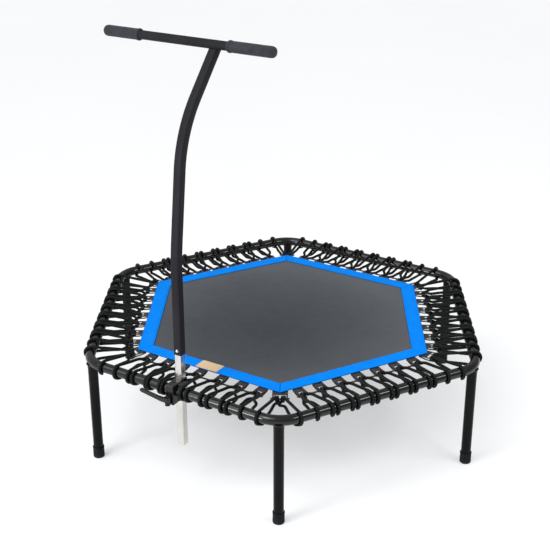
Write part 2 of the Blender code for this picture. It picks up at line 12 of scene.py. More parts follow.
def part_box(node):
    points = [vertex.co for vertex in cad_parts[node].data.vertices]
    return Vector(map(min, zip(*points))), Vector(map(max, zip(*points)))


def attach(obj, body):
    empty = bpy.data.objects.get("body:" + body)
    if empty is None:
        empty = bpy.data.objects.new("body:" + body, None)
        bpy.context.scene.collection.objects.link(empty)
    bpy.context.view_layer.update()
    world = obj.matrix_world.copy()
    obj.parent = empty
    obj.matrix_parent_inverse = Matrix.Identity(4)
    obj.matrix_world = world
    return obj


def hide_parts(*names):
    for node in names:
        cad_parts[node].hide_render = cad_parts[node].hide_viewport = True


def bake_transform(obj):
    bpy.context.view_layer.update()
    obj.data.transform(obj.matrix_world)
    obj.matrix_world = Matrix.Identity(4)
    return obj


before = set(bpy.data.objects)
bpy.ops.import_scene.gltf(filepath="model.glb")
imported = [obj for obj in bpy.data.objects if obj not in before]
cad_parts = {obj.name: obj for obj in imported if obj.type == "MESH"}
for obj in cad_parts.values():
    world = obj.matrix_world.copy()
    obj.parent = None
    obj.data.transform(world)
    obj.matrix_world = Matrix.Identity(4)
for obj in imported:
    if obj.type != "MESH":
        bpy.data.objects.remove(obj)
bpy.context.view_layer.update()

SIDES = 6
HALF_TURN = math.pi / SIDES
FRAME_APOTHEM, FRAME_Z, TUBE_R, BEND_R = 0.5465, 0.313, 0.0142, 0.090
SEAM_PAST_BEND, SEAM_GAP = 0.008, 0.0001
MAT_APOTHEM, BORDER_WIDTH, BORDER_TOP = 0.4157, 0.0441, 0.3185
BORDER_THICKNESS, MAT_THICKNESS, STRAP_THICKNESS, GAP = 0.0024, 0.0020, 0.0020, 0.0003
MAT_TOP = BORDER_TOP - BORDER_THICKNESS - GAP
STRAP_TOP = MAT_TOP - MAT_THICKNESS - GAP
WIRE_APOTHEM, WIRE_R, WIRE_BEND_R = 0.4457, 0.0025, 0.085
WIRE_Z = STRAP_TOP - STRAP_THICKNESS - GAP - WIRE_R
CORD_R = 0.0043
ANCHORS, ANCHOR_PITCH, WRAP_SPREAD = 7, 0.0615, 0.0225
CORNER_WRAP_S = 0.2570

# A tab, by distance from its middle: a leg's inner and outer edge, then the cord's first and last turn
# round the wire.
LEG, CORNER_LEG = (0.0092, 0.0148), (0.0172, 0.0212)
HOOK, CORNER_HOOK = (0.0046, 0.0046), (0.0034, 0.0130)
FLAP_END, CORNER_FLAP_PAST_MAT = 0.4302, 0.0060    # where the flap parts into its two legs
WEBBING_HALF = 0.0008          # half the webbing's thickness
WIRE_HALF, CORNER_WIRE_HALF = 0.204, 0.0255        # half of a side's rod and of a corner's bar
KNOT_THIN = 0.86               # share of its thickness that the stretched cord keeps round the wire
UPPER_CROSSING, LOWER_CROSSING = 0.0012, 0.0084    # how far the crossing strands lie below the wire
WRAP_SLANT, CORNER_WRAP_SLANT = 0.006, 0.010       # how far a wrap shifts along the tube's underside

HANDLE_X, STEM_Y = -0.0132, -0.5165


def side_axes(side):
    """A side's outward normal, and its tangent, which runs anticlockwise."""
    angle = math.radians(-90) + 2 * HALF_TURN * side
    normal = Vector((math.cos(angle), math.sin(angle), 0))
    return normal, Vector((-normal.y, normal.x, 0))


def on_side(side, s, r, z):
    """Point s along a side from its middle, r out from the centre."""
    normal, tangent = side_axes(side)
    return normal * r + tangent * s + Vector((0, 0, z))


def at_corner(side, t, rho, z):
    """Point rho out along the line to a side's far corner, and t across that line."""
    s = rho * math.sin(HALF_TURN) + t * math.cos(HALF_TURN)
    r = rho * math.cos(HALF_TURN) - t * math.sin(HALF_TURN)
    return on_side(side, s, r, z)


def corner_distance(apothem, bend_r):
    """How far out a hexagon reaches at a corner rounded by bend_r."""
    return apothem / math.cos(HALF_TURN) - bend_r * (1 / math.cos(HALF_TURN) - 1)


LEG_RADIUS = corner_distance(FRAME_APOTHEM, BEND_R)


# ---------------------------------------------------------------- camera

def add_camera():
    camera = bpy.data.objects.new("camera", bpy.data.cameras.new("camera"))
    bpy.context.scene.collection.objects.link(camera)
    camera.location = (1.6056, -2.6568, 1.8013)
    camera.rotation_euler = (math.radians(90 - 23.518), 0, math.radians(31.653))
    camera.data.lens = 73.53
    camera.data.sensor_width = 36
    camera.data.clip_end = 60
    bpy.context.scene.camera = camera


add_camera()


# ---------------------------------------------------------------- material nodes

class Shader:
    """A Principled material and short calls for the nodes that feed it."""

    def __init__(self, name, color, roughness, metallic=0.0, uv=False, **sockets):
        self.material = bpy.data.materials.new(name)
        self.material.use_nodes = True
        self.tree = self.material.node_tree
        self.bsdf = self.tree.nodes["Principled BSDF"]
        self.bsdf.inputs["Base Color"].default_value = (*color, 1)
        self.bsdf.inputs["Roughness"].default_value = roughness
        self.bsdf.inputs["Metallic"].default_value = metallic
        for socket, value in sockets.items():
            self.bsdf.inputs[socket.replace("_", " ")].default_value = value
        coordinates = self.tree.nodes.new("ShaderNodeTexCoord")
        self.place = coordinates.outputs["UV" if uv else "Object"]

    def link(self, source, target):
        if isinstance(source, (int, float)):
            target.default_value = source
        elif isinstance(source, tuple):
            target.default_value = (*source, 1)
        else:
            self.tree.links.new(source, target)

    def math(self, operation, a, b=0.0, clamp=False):
        node = self.tree.nodes.new("ShaderNodeMath")
        node.operation = operation
        node.use_clamp = clamp
        self.link(a, node.inputs[0])
        self.link(b, node.inputs[1])
        return node.outputs[0]

    def axes(self):
        node = self.tree.nodes.new("ShaderNodeSeparateXYZ")
        self.link(self.place, node.inputs[0])
        return node.outputs

    def noise(self, scale, detail=3.0, roughness=0.5, stretch=None):
        node = self.tree.nodes.new("ShaderNodeTexNoise")
        node.inputs["Scale"].default_value = scale
        node.inputs["Detail"].default_value = detail
        node.inputs["Roughness"].default_value = roughness
        source = self.place
        if stretch:
            mapping = self.tree.nodes.new("ShaderNodeMapping")
            mapping.inputs["Scale"].default_value = stretch
            self.link(source, mapping.inputs["Vector"])
            source = mapping.outputs[0]
        self.link(source, node.inputs["Vector"])
        return node.outputs["Fac"]

    def wave(self, coordinate, period):
        """Smooth wave between 0 and 1 along a coordinate in metres."""
        turn = self.math("MULTIPLY", coordinate, 2 * math.pi / period)
        return self.math("ADD", self.math("MULTIPLY", self.math("SINE", turn), 0.5), 0.5)

    def band(self, coordinate, centre, half_width):
        """1 within half_width of centre, 0 outside."""
        return self.math("LESS_THAN", self.math("ABSOLUTE", self.math("SUBTRACT", coordinate, centre)),
                         half_width)

    def range(self, value, low, high, to_low=0.0, to_high=1.0):
        node = self.tree.nodes.new("ShaderNodeMapRange")
        for i, amount in enumerate((value, low, high, to_low, to_high)):
            self.link(amount, node.inputs[i])
        return node.outputs[0]

    def mix(self, factor, a, b):
        node = self.tree.nodes.new("ShaderNodeMix")
        node.data_type = "RGBA"
        self.link(factor, node.inputs["Factor"])
        self.link(a, node.inputs[6])
        self.link(b, node.inputs[7])
        return node.outputs[2]

    def color(self, source):
        self.link(source, self.bsdf.inputs["Base Color"])

    def rough(self, source):
        self.link(source, self.bsdf.inputs["Roughness"])

    def bump(self, height, distance, strength=1.0):
        node = self.tree.nodes.new("ShaderNodeBump")
        node.inputs["Distance"].default_value = distance
        node.inputs["Strength"].default_value = strength
        self.link(height, node.inputs["Height"])
        earlier = self.bsdf.inputs["Normal"].links
        if earlier:
            self.link(earlier[0].from_socket, node.inputs["Normal"])
        self.link(node.outputs[0], self.bsdf.inputs["Normal"])


def paint_material(name, gloss):
    """Black powder coat: slight orange peel, dust in places and small scuffs."""
    m = Shader(name, (0.005, 0.005, 0.006), 0.20, Specular_IOR_Level=gloss)
    dust = m.range(m.noise(9, 4), 0.45, 0.75)
    m.color(m.mix(dust, (0.0035, 0.0036, 0.0042), (0.0062, 0.0064, 0.0072)))
    scuff = m.range(m.noise(60, 6, 0.7, (1, 1, 3)), 0.62, 0.72)
    m.rough(m.math("ADD", m.range(m.noise(14, 3), 0.3, 0.7, 0.13, 0.17), m.math("MULTIPLY", scuff, 0.08)))
    m.bump(m.noise(900, 2), 0.00001)
    return m.material


def satin_paint_material():
    """The post and the bar: the same black, less glossy, with a fine grain."""
    m = Shader("satin_black_paint", (0.018, 0.018, 0.021), 0.42, Specular_IOR_Level=0.04)
    m.color(m.mix(m.range(m.noise(7, 4), 0.35, 0.7), (0.0155, 0.0155, 0.0185), (0.0215, 0.0215, 0.0250)))
    m.rough(m.range(m.noise(30, 4), 0.3, 0.7, 0.38, 0.46))
    m.bump(m.noise(1500, 2), 0.00004)
    return m.material


def steel_material():
    """Bright drawn steel: fine lengthwise brushing, faint stains and handling marks."""
    m = Shader("bright_steel", (0.76, 0.745, 0.72), 0.24, 0.95)
    stain = m.range(m.noise(22, 5, 0.6, (1, 1, 0.4)), 0.42, 0.72)
    m.color(m.mix(stain, (0.70, 0.685, 0.655), (0.54, 0.52, 0.48)))
    brushed = m.noise(1400, 3, 0.6, (1, 1, 0.02))
    m.rough(m.range(brushed, 0.3, 0.7, 0.16, 0.22))
    m.bump(brushed, 0.00001)
    return m.material


def zinc_material():
    m = Shader("zinc_steel", (0.62, 0.62, 0.61), 0.30, 1.0)
    m.color(m.mix(m.range(m.noise(300, 4), 0.4, 0.7), (0.66, 0.66, 0.65), (0.48, 0.48, 0.46)))
    m.bump(m.noise(1800, 2), 0.00005)
    return m.material


def rubber_material():
    """Feet: dark grey rubber, dull, with floor dust low down."""
    m = Shader("foot_rubber", (0.009, 0.010, 0.011), 0.62, Specular_IOR_Level=0.08)
    z = m.axes()[2]
    dusty = m.math("MULTIPLY", m.range(z, 0.012, 0.0), m.range(m.noise(120, 5), 0.4, 0.65), clamp=True)
    worn = m.mix(m.range(m.noise(60, 4), 0.35, 0.7), (0.0075, 0.0085, 0.0095), (0.012, 0.013, 0.014))
    m.color(m.mix(dusty, worn, (0.035, 0.034, 0.032)))
    m.bump(m.noise(900, 3), 0.0001)
    return m.material


def foam_material():
    """Grips: closed-cell foam with a fine pitted skin."""
    m = Shader("grip_foam", (0.035, 0.037, 0.044), 0.80, Specular_IOR_Level=0.12,
               Sheen_Weight=0.10, Sheen_Roughness=0.5)
    m.color(m.mix(m.range(m.noise(45, 5), 0.35, 0.7), (0.022, 0.024, 0.029), (0.034, 0.036, 0.043)))
    cells = m.tree.nodes.new("ShaderNodeTexVoronoi")
    cells.inputs["Scale"].default_value = 900
    m.link(m.place, cells.inputs["Vector"])
    m.bump(cells.outputs["Distance"], 0.0002, 0.8)
    m.bump(m.noise(220, 3), 0.0002, 0.5)
    return m.material


def mat_material():
    """Woven jumping mat: fine dark grid of threads, with painted sheen that lightens it from the middle
    towards the edges.
    """
    m = Shader("mat_mesh", (0.070, 0.078, 0.090), 0.5, Specular_IOR_Level=0.12)
    x, y, _ = m.axes()
    weave = m.math("MULTIPLY", m.wave(x, 0.0022), m.wave(y, 0.0022))
    ribs = m.math("MULTIPLY", m.wave(x, 0.0044), m.wave(y, 0.0044))
    # Painted sheen: the colour lightens with distance from a point a little in front of the middle, towards
    # the edges and the back. Noise adds random tone.
    back = m.math("ADD", y, 0.10)
    reach = m.math("ADD", m.math("MULTIPLY", x, x), m.math("MULTIPLY", back, back))
    painted_sheen_and_tone = m.math("ADD", m.range(reach, 0.0, 0.20, 0.0, 0.8),
                   m.range(m.noise(3.2, 4, 0.55), 0.3, 0.75, 0.0, 0.2))
    base = m.mix(painted_sheen_and_tone, (0.044, 0.050, 0.058), (0.116, 0.129, 0.144))
    m.color(m.mix(m.range(weave, 0.0, 1.0, 0.35, 0.0), base, (0.012, 0.014, 0.018)))
    m.rough(m.range(m.noise(40, 3), 0.3, 0.7, 0.44, 0.56))
    m.bump(weave, 0.00022)
    m.bump(ribs, 0.0001, 0.4)
    return m.material


def stitched(m, across, along, rows, width, pitch):
    """Masks of the dashed stitches, and of the grooves they lie in, in rows that run along a strip."""
    dashes = m.math("LESS_THAN", m.math("FRACT", m.math("DIVIDE", along, pitch)), 0.72)
    groove, *others = [m.band(across, row, width) for row in rows]
    for other in others:
        groove = m.math("MAXIMUM", groove, other)
    return m.math("MULTIPLY", groove, dashes), groove


def border_material():
    """Blue coated fabric: twill weave, sewn rows along both edges, slight fading, and painted shade along
    both edges and in the stitch grooves.
    """
    m = Shader("blue_fabric", (0.0, 0.24, 0.82), 0.55, uv=True, Specular_IOR_Level=0.02)
    along, across, _ = m.axes()
    thread, groove = stitched(m, across, along, (0.0040, 0.0065, BORDER_WIDTH - 0.0055), 0.00042, 0.0036)
    faded = m.range(m.noise(18, 5, 0.6), 0.3, 0.75)
    base = m.mix(faded, (0.0, 0.190, 0.74), (0.0, 0.230, 0.85))
    twill = m.wave(m.math("ADD", along, across), 0.0013)
    base = m.mix(m.math("MULTIPLY", twill, 0.22), base, (0.0, 0.12, 0.50))
    # Painted shade: a dark line along both edges of the strip.
    painted_edge_shade = m.math("MAXIMUM", m.math("LESS_THAN", across, 0.0011),
                 m.math("GREATER_THAN", across, BORDER_WIDTH - 0.0013))
    # Painted shade: the stitch grooves are darkened.
    base = m.mix(m.math("MULTIPLY", groove, 0.35), base, (0.0, 0.08, 0.33))
    base = m.mix(m.math("MULTIPLY", thread, 0.8), base, (0.0, 0.19, 0.70))
    m.color(m.mix(m.math("MULTIPLY", painted_edge_shade, 0.8), base, (0.002, 0.012, 0.055)))
    m.rough(m.range(twill, 0.0, 1.0, 0.42, 0.56))
    m.bump(twill, 0.00008)
    m.bump(groove, -0.0005, 0.7)
    m.bump(thread, 0.0004, 0.8)
    m.bump(m.noise(70, 3), 0.0006, 0.5)
    return m.material


def webbing_material():
    """Black polyester webbing with lengthwise ribs."""
    m = Shader("webbing", (0.030, 0.029, 0.031), 0.62, uv=True, Specular_IOR_Level=0.15,
               Sheen_Weight=0.2, Sheen_Roughness=0.35)
    along, across, _ = m.axes()
    ribs = m.wave(across, 0.0017)
    picks = m.wave(along, 0.0014)
    cloth = m.math("MULTIPLY", ribs, picks)
    base = m.mix(m.range(m.noise(60, 4), 0.3, 0.7), (0.018, 0.017, 0.019), (0.055, 0.050, 0.053))
    m.color(m.mix(m.range(cloth, 0, 1, 0.6, 0.0), base, (0.004, 0.004, 0.005)))
    m.bump(cloth, 0.0003)
    return m.material


def cord_material():
    """Black braided sheath over rubber, with a sparse dark green tracer thread."""
    m = Shader("elastic_cord", (0.004, 0.0042, 0.0045), 0.5, uv=True, Specular_IOR_Level=0.14)
    along, around, _ = m.axes()
    coil = m.math("DIVIDE", along, 0.0105)
    left = m.math("ADD", coil, around)
    right = m.math("SUBTRACT", coil, around)
    strands = m.math("MULTIPLY", m.wave(left, 0.125), m.wave(right, 0.125))
    tracer = m.math("LESS_THAN", m.math("FRACT", m.math("ADD", left, 0.3)), 0.13)
    over = m.math("GREATER_THAN", m.wave(right, 0.25), 0.45)
    lit = m.math("GREATER_THAN", m.noise(26, 2), 0.52)
    tracer = m.math("MULTIPLY", m.math("MULTIPLY", tracer, over), lit)
    base = m.mix(m.range(m.noise(90, 4), 0.3, 0.7), (0.0032, 0.0034, 0.0038), (0.0075, 0.0078, 0.0085))
    base = m.mix(m.range(strands, 0, 1, 0.45, 0.0), base, (0.0012, 0.0012, 0.0015))
    m.color(m.mix(m.math("MULTIPLY", tracer, 0.8), base, (0.002, 0.045, 0.022)))
    m.bump(strands, 0.0004)
    return m.material


def label_material():
    """Tan woven label with a folded, stitched rim."""
    m = Shader("label_fabric", (0.66, 0.50, 0.32), 0.6, uv=True, Specular_IOR_Level=0.2)
    along, across, _ = m.axes()
    weave = m.math("MULTIPLY", m.wave(along, 0.0009), m.wave(across, 0.0009))
    base = m.mix(m.range(m.noise(80, 4), 0.3, 0.7), (0.60, 0.45, 0.28), (0.67, 0.51, 0.33))
    rows = stitched(m, across, along, (0.0025, 0.0395), 0.0004, 0.003)
    ends = stitched(m, along, across, (0.0025, 0.0665), 0.0004, 0.003)
    thread = m.math("MAXIMUM", rows[0], ends[0])
    base = m.mix(m.range(weave, 0, 1, 0.25, 0.0), base, (0.40, 0.27, 0.14))
    m.color(m.mix(m.math("MULTIPLY", thread, 0.6), base, (0.42, 0.28, 0.15)))
    m.bump(weave, 0.0001)
    m.bump(thread, 0.0003)
    return m.material


PAINT = paint_material("black_paint", 0.40)
LEG_PAINT = paint_material("flat_black_paint", 0.10)
SATIN = satin_paint_material()
STEEL = steel_material()
ZINC = zinc_material()
RUBBER = rubber_material()
FOAM = foam_material()
MAT = mat_material()
BORDER = border_material()
WEBBING = webbing_material()
CORD = cord_material()
LABEL = label_material()


# ---------------------------------------------------------------- mesh helpers

class Build:
    """Gathers vertices, faces and UVs, in metres, and makes one piece of them."""

    def __init__(self):
        self.points, self.faces, self.uvs = [], [], []

    def add(self, points, faces, uvs=None):
        start = len(self.points)
        self.points += [tuple(p) for p in points]
        for i, face in enumerate(faces):
            self.faces.append(tuple(start + v for v in face))
            self.uvs.append(uvs[i] if uvs else [(0, 0)] * len(face))

    def piece(self, name, material, body, replaced=(), sharp=40):
        mesh = bpy.data.meshes.new(name)
        mesh.from_pydata(self.points, [], self.faces)
        layer = mesh.uv_layers.new(name="UVMap")
        flat = [c for face in self.uvs for uv in face for c in uv]
        layer.data.foreach_set("uv", flat)
        mesh.materials.append(material)
        mesh.shade_smooth()
        mesh.set_sharp_from_angle(angle=math.radians(sharp))
        mesh.update()
        obj = bpy.data.objects.new(name, mesh)
        bpy.context.scene.collection.objects.link(obj)
        if body:
            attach(obj, body)
        if replaced:
            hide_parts(*replaced)
        return obj


def circle(radius, sides):
    return [(radius * math.cos(2 * math.pi * i / sides), radius * math.sin(2 * math.pi * i / sides))
            for i in range(sides)]


def rounded_square(width, radius, steps=4):
    half = width / 2 - radius
    section = []
    for corner in range(4):
        cx, cy = ((half, half), (-half, half), (-half, -half), (half, -half))[corner]
        for step in range(steps + 1):
            turn = math.pi / 2 * (corner + step / steps)
            section.append((cx + radius * math.cos(turn), cy + radius * math.sin(turn)))
    return section


def path_frames(points, closed, first_normal):
    """Directions along a path, and normals carried along it without twist."""
    count = len(points)
    tangents = []
    for i in range(count):
        a = points[i - 1] if i or closed else points[0]
        b = points[(i + 1) % count] if i < count - 1 or closed else points[-1]
        tangents.append((b - a).normalized())
    normal = first_normal - tangents[0] * first_normal.dot(tangents[0])
    normals = [normal.normalized()]
    for i in range(1, count):
        turn = tangents[i - 1].rotation_difference(tangents[i])
        normals.append((turn @ normals[-1]).normalized())
    if closed:
        last = tangents[-1].rotation_difference(tangents[0]) @ normals[-1]
        off = math.atan2(last.cross(normals[0]).dot(tangents[0]), last.dot(normals[0]))
        normals = [Matrix.Rotation(off * i / count, 3, tangents[i]) @ n for i, n in enumerate(normals)]
    return tangents, normals


def sweep(build, points, section, closed=False, first_normal=Vector((0, 0, 1)), scales=None):
    """Runs a section along a path, with flat ends. U is the length along it and V the turn around it."""
    tangents, normals = path_frames(points, closed, first_normal)
    count, sides = len(points), len(section)
    rings, lengths, length = [], [0.0], 0.0
    for i, (point, tangent, normal) in enumerate(zip(points, tangents, normals)):
        side = tangent.cross(normal)
        scale = scales[i] if scales else 1.0
        rings += [point + (normal * a + side * b) * scale for a, b in section]
        if i:
            length += (point - points[i - 1]).length
            lengths.append(length)
    lengths.append(length + (points[0] - points[-1]).length)
    faces, uvs = [], []
    for i in range(count if closed else count - 1):
        a, b = i * sides, (i + 1) % count * sides
        for j in range(sides):
            k = (j + 1) % sides
            faces.append((a + j, a + k, b + k, b + j))
            uvs.append([(lengths[i], j / sides), (lengths[i], (j + 1) / sides),
                        (lengths[i + 1], (j + 1) / sides), (lengths[i + 1], j / sides)])
    if not closed:
        end = (count - 1) * sides
        faces += [tuple(range(sides - 1, -1, -1)), tuple(end + j for j in range(sides))]
        uvs += [[(0, 0)] * sides] * 2
    build.add(rings, faces, uvs)


def lathe(build, profile, place, steps=40):
    """Turns (radius, height) points, top to bottom, about the Z axis of place."""
    points, faces = [], []
    for radius, height in profile:
        for i in range(steps):
            turn = 2 * math.pi * i / steps
            points.append(place @ Vector((radius * math.cos(turn), radius * math.sin(turn), height)))
    for i in range(len(profile) - 1):
        a, b = i * steps, (i + 1) * steps
        for j in range(steps):
            k = (j + 1) % steps
            faces.append((a + j, b + j, b + k, a + k))
    faces.append(tuple(range(steps)))
    faces.append(tuple(range(len(points) - 1, len(points) - steps - 1, -1)))
    build.add(points, faces)


def closed_spline(points, spacing=0.003):
    """Closed centripetal Catmull-Rom curve through the points, sampled about evenly."""
    count = len(points)
    out = []
    for i in range(count):
        p = [points[(i + k) % count] for k in (-1, 0, 1, 2)]
        t = [0.0]
        for a, b in zip(p, p[1:]):
            t.append(t[-1] + max((b - a).length, 1e-5) ** 0.5)
        steps = max(2, math.ceil((p[2] - p[1]).length / spacing))
        for step in range(steps):
            x = t[1] + (t[2] - t[1]) * step / steps
            q = [p[j].lerp(p[j + 1], (x - t[j]) / (t[j + 1] - t[j])) for j in range(3)]
            q = [q[j].lerp(q[j + 1], (x - t[j]) / (t[j + 2] - t[j])) for j in range(2)]
            out.append(q[0].lerp(q[1], (x - t[1]) / (t[2] - t[1])))
    return out


# ---------------------------------------------------------------- frame, legs and feet

def rail_line(side):
    """Along a side and round its far corner, to where the next side's tube starts."""
    half = FRAME_APOTHEM * math.tan(HALF_TURN) - BEND_R * math.tan(HALF_TURN)
    start = -half + SEAM_PAST_BEND
    points = [on_side(side, start + (half - start) * i / 12, FRAME_APOTHEM, FRAME_Z) for i in range(12)]
    for step in range(25):
        turn = 2 * HALF_TURN * step / 24
        points.append(on_side(side, half + BEND_R * math.sin(turn),
                              FRAME_APOTHEM - BEND_R + BEND_R * math.cos(turn), FRAME_Z))
    return points + [on_side(side + 1, start - SEAM_GAP, FRAME_APOTHEM, FRAME_Z)]


SOCKET_R, SOCKET_TOP, FLARE_HEIGHT, FLARE = 0.0148, 0.3062, 0.0115, 0.0030
SOCKET_PROFILE = [(0.0010, FRAME_Z - 0.003), (0.0178, FRAME_Z - 0.0065)] + [
    (SOCKET_R + FLARE * (1 - i / 8) ** 2.5, SOCKET_TOP - FLARE_HEIGHT * i / 8) for i in range(9)] + [
    (SOCKET_R, 0.2942), (0.0144, 0.2937), (0.0100, 0.2937)]
LEG_PROFILE = [(0.010, 0.2933), (0.0139, 0.2933), (TUBE_R, 0.2930), (TUBE_R, 0.2), (TUBE_R, 0.1),
               (TUBE_R, 0.0050), (0.012, 0.0046)]
FOOT_PROFILE = [(0.0143, 0.0310), (0.0150, 0.0334), (0.0158, 0.0340), (0.0166, 0.0334), (0.0169, 0.0322),
                (0.0167, 0.0310), (0.0161, 0.0303), (0.0160, 0.0296), (0.0162, 0.0285), (0.0163, 0.018),
                (0.0164, 0.0085), (0.0166, 0.0055), (0.0165, 0.0030), (0.0160, 0.0014), (0.0150, 0.0004),
                (0.0140, 0.0), (0.010, 0.0), (0.001, 0.0)]


def add_frame():
    for side in range(SIDES):
        n = side + 1
        rail = Build()
        sweep(rail, rail_line(side), circle(TUBE_R, 32))
        rail.piece(f"rail_{n}", PAINT, "frame", [f"frame_tube_{n}"])

        corner = Matrix.Translation(at_corner(side, 0, LEG_RADIUS, 0))
        socket = Build()
        lathe(socket, SOCKET_PROFILE, corner)
        socket.piece(f"leg_socket_{n}", LEG_PAINT, "frame")

        leg = Build()
        lathe(leg, LEG_PROFILE, corner)
        leg.piece(f"leg_tube_{n}", LEG_PAINT, "frame", [f"leg_{n}"])

        foot = Build()
        lathe(foot, FOOT_PROFILE, corner)
        foot.piece(f"foot_cap_{n}", RUBBER, "frame", [f"foot_{n}"])


# ---------------------------------------------------------------- mat, border, label

def add_mat():
    """Stretched hexagon, one thin sheet of even triangles."""
    rings, under_border = 48, 0.004
    reach = (MAT_APOTHEM - under_border) / math.cos(HALF_TURN)
    corners = [at_corner(k, 0, reach, 0) for k in range(SIDES)]
    points, index, faces = [], {}, []

    def point(sector, i, j):
        a, b = corners[sector], corners[(sector + 1) % SIDES]
        position = a * ((i - j) / rings) + b * (j / rings)
        key = (round(position.x, 6), round(position.y, 6))
        if key not in index:
            index[key] = len(points)
            points.append(Vector((position.x, position.y, MAT_TOP)))
        return index[key]

    for sector in range(SIDES):
        for i in range(rings):
            for j in range(i + 1):
                faces.append((point(sector, i, j), point(sector, i + 1, j), point(sector, i + 1, j + 1)))
                if j < i:
                    faces.append((point(sector, i, j), point(sector, i + 1, j + 1), point(sector, i, j + 1)))
    build = Build()
    build.add(points, faces)
    obj = build.piece("mat_sheet", MAT, "mat", ["jumping_mat"])


def border_strip(side):
    """One sewn strip: crowned between its hems, rolled at its edges and at its mitres."""
    build = Build()
    inner = MAT_APOTHEM - BORDER_WIDTH
    underside = BORDER_TOP - BORDER_THICKNESS
    rows, columns = 26, 60
    slope = math.tan(HALF_TURN)
    top, bottom = [], []
    for i in range(rows + 1):
        across = BORDER_WIDTH * i / rows
        r = inner + across
        half = r * slope - 0.0002
        for j in range(columns + 1):
            t = 2 * j / columns - 1
            s = half * math.copysign(1 - (1 - abs(t)) ** 1.35, t)
            edge = min(across, BORDER_WIDTH - across, (half - abs(s)) * 1.2)
            roll = 1 - math.exp(-edge / 0.0012)
            stitch = min(abs(across - 0.0050), abs(across - BORDER_WIDTH + 0.0055))
            pull = 0.00035 * math.exp(-((stitch / 0.0016) ** 2))
            ripple = 0.00022 * math.sin(s * 130 + side) * math.sin(math.pi * i / rows)
            z = underside + 0.0004 + (BORDER_THICKNESS - 0.0006) * roll - pull + ripple
            top.append((on_side(side, s, r, z), (s + 0.3, across)))
            bottom.append((on_side(side, s, r, underside), (s + 0.3, across)))
    width = columns + 1
    faces, uvs = [], []
    points = [p for p, _ in top + bottom]
    coords = [uv for _, uv in top + bottom]
    under = len(top)

    def quad(a, b, c, d):
        faces.append((a, b, c, d))
        uvs.append([coords[v] for v in (a, b, c, d)])

    for i in range(rows):
        for j in range(columns):
            a, b, c, d = i * width + j, i * width + j + 1, (i + 1) * width + j + 1, (i + 1) * width + j
            quad(d, c, b, a)
            quad(under + a, under + b, under + c, under + d)
    for j in range(columns):
        quad(j, j + 1, under + j + 1, under + j)
        k = rows * width + j
        quad(k + 1, k, under + k, under + k + 1)
    for i in range(rows):
        a, b = i * width, (i + 1) * width
        quad(b, a, under + a, under + b)
        a, b = a + columns, b + columns
        quad(a, b, under + b, under + a)
    build.add(points, faces, uvs)
    build.piece(f"border_strip_{side + 1}", BORDER, "mat", [f"border_{side + 1}"], sharp=60)


def add_label():
    """Plain woven patch, a thin slab whose top rises a little inside its rim."""
    low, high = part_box("label_patch")
    build = Build()
    rows, columns = 14, 24
    width, depth = high[0] - low[0], high[1] - low[1]
    points, coords = [], []
    for layer in range(2):
        for i in range(rows + 1):
            for j in range(columns + 1):
                u, v = width * j / columns, depth * i / rows
                edge = min(u, width - u, v, depth - v)
                top = low[2] + 0.00005 + 0.0007 * (1 - math.exp(-edge / 0.0006))
                z = top if layer == 0 else low[2] - 0.0002
                points.append((low[0] + u, low[1] + v, z))
                coords.append((u, v))
    wide, under = columns + 1, (columns + 1) * (rows + 1)
    faces = []
    for i in range(rows):
        for j in range(columns):
            a = i * wide + j
            faces.append((a, a + 1, a + wide + 1, a + wide))
            faces.append((under + a + wide, under + a + wide + 1, under + a + 1, under + a))
    rim = [j for j in range(columns)] + [i * wide + columns for i in range(rows)]
    rim += [rows * wide + columns - j for j in range(columns)] + [(rows - i) * wide for i in range(rows)]
    for a, b in zip(rim, rim[1:] + rim[:1]):
        faces.append((b, a, under + a, under + b))
    build.add(points, faces, [[coords[v] for v in face] for face in faces])
    build.piece("woven_label", LABEL, "mat", ["label_patch"])


# ---------------------------------------------------------------- tabs, edge wires, cords

def anchors_on(side):
    """Each tab's place along its side, and how far from it the tube is wrapped."""
    anchors = [((i - (ANCHORS - 1) / 2) * ANCHOR_PITCH, WRAP_SPREAD) for i in range(ANCHORS)]
    if side == 0:  # the clamp takes up room in the middle
        middle = ANCHORS // 2
        anchors[middle - 1] = (-0.0735, 0.0195)
        anchors[middle] = (HANDLE_X, 0.0310)
        anchors[middle + 1] = (0.0575, 0.0225)
    return anchors


def ribbon(build, place, profile, left, right):
    """Flat strap from left to right, along a (distance, height) profile, with a real thickness."""
    count = len(profile)
    points, coords = [], []
    length = 0.0
    for i, (d, z) in enumerate(profile):
        a, b = profile[max(0, i - 1)], profile[min(count - 1, i + 1)]
        run = Vector((b[0] - a[0], b[1] - a[1])).normalized()
        if i:
            length += math.dist(profile[i], profile[i - 1])
        for t, sign in ((left, 1), (right, 1), (right, -1), (left, -1)):
            points.append(place(t, d - run.y * WEBBING_HALF * sign, z + run.x * WEBBING_HALF * sign))
            coords.append((length, t))
    faces = []
    for i in range(count - 1):
        for j in range(4):
            k = (j + 1) % 4
            faces.append((i * 4 + j, i * 4 + 4 + j, i * 4 + 4 + k, i * 4 + k))
    end = (count - 1) * 4
    faces += [(3, 0, 1, 2), (end, end + 3, end + 2, end + 1)]
    build.add(points, faces, [[coords[v] for v in face] for face in faces])


